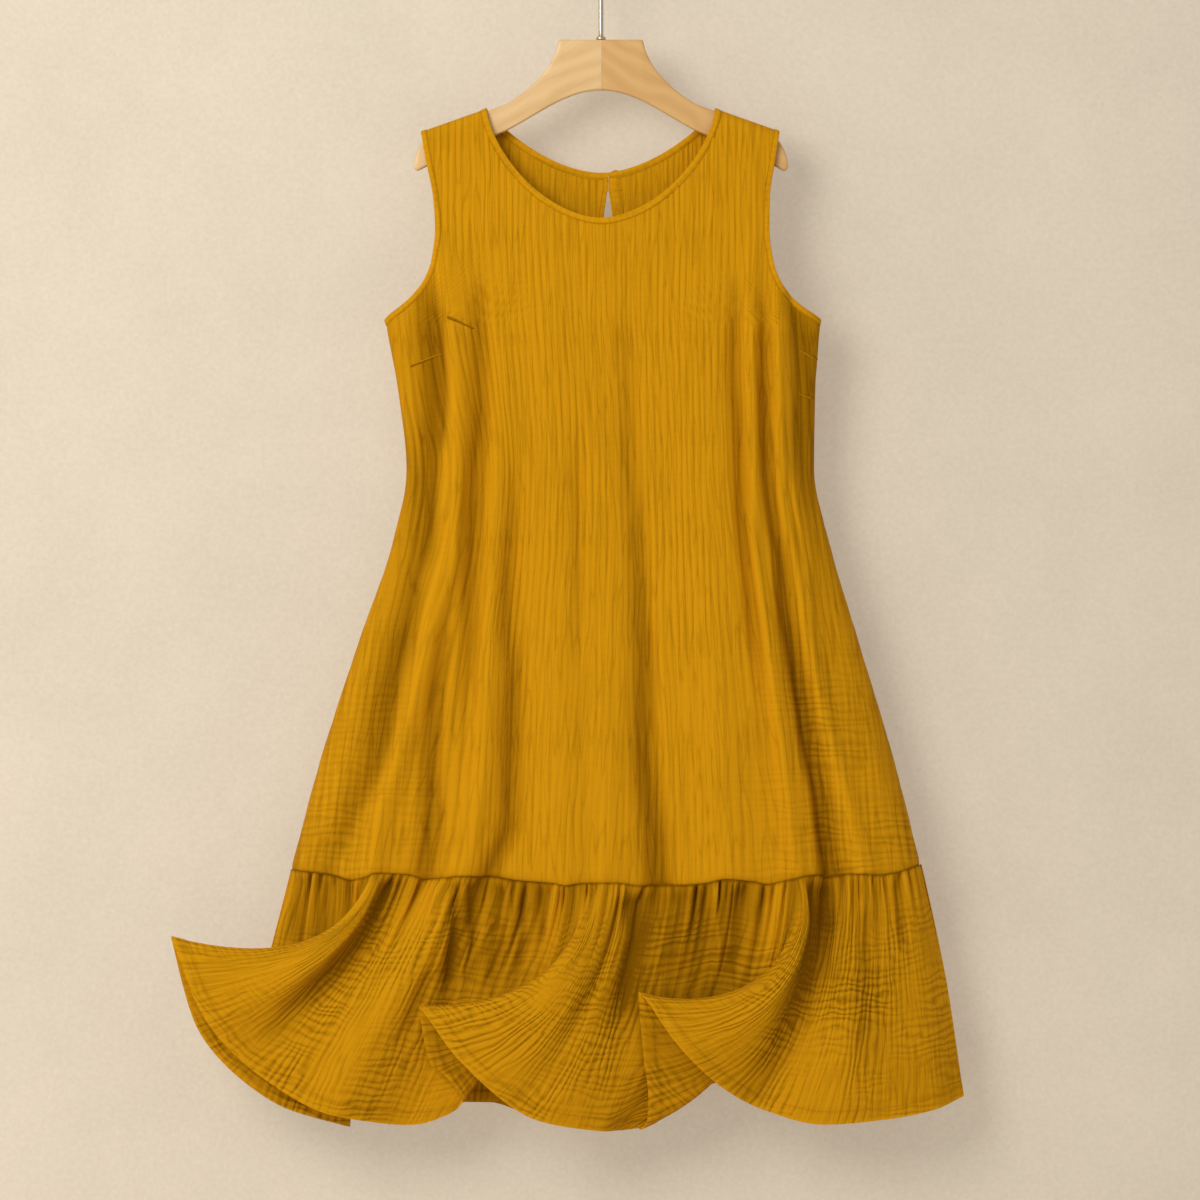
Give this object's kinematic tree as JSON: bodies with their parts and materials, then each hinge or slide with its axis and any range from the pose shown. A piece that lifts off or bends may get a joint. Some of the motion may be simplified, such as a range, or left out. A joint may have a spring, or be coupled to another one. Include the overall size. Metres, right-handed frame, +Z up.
{
  "type": "a-line midi dress on a wooden hanger",
  "caption": "Sleeveless A-line midi dress in crinkled ochre cotton with a gathered flounce, bound scoop neck and armholes, and a back keyhole, on a flat wooden hanger with a steel hook.",
  "frame": {"origin": "inner top of the hanger's hook, where it rests on a rail", "axes": "+Z up along the hanging dress, -Y out of the dress's front, +X to the right as seen from the front"},
  "size_m": [0.7938, 0.1209, 1.1883],
  "materials": {
    "cloth": "matte crinkled cotton",
    "binding": "matte cotton, folded and stitched",
    "wood": "clear satin lacquer",
    "steel": "bright plated wire",
    "button": "covered in the dress's cloth"
  },
  "bodies": {
    "root": {"front_body": "cloth", "back_body": "cloth", "front_flounce": "cloth", "back_flounce": "cloth", "neck_binding_front": "binding", "neck_binding_back_left": "binding", "neck_binding_back_right": "binding", "armhole_binding_left": "binding", "armhole_binding_right": "binding", "keyhole_binding": "binding", "back_loop": "binding", "back_button": "button", "hanger_left": "wood", "hanger_right": "wood", "hook": "steel", "hook_collar": "steel"}
  },
  "joints": []
}
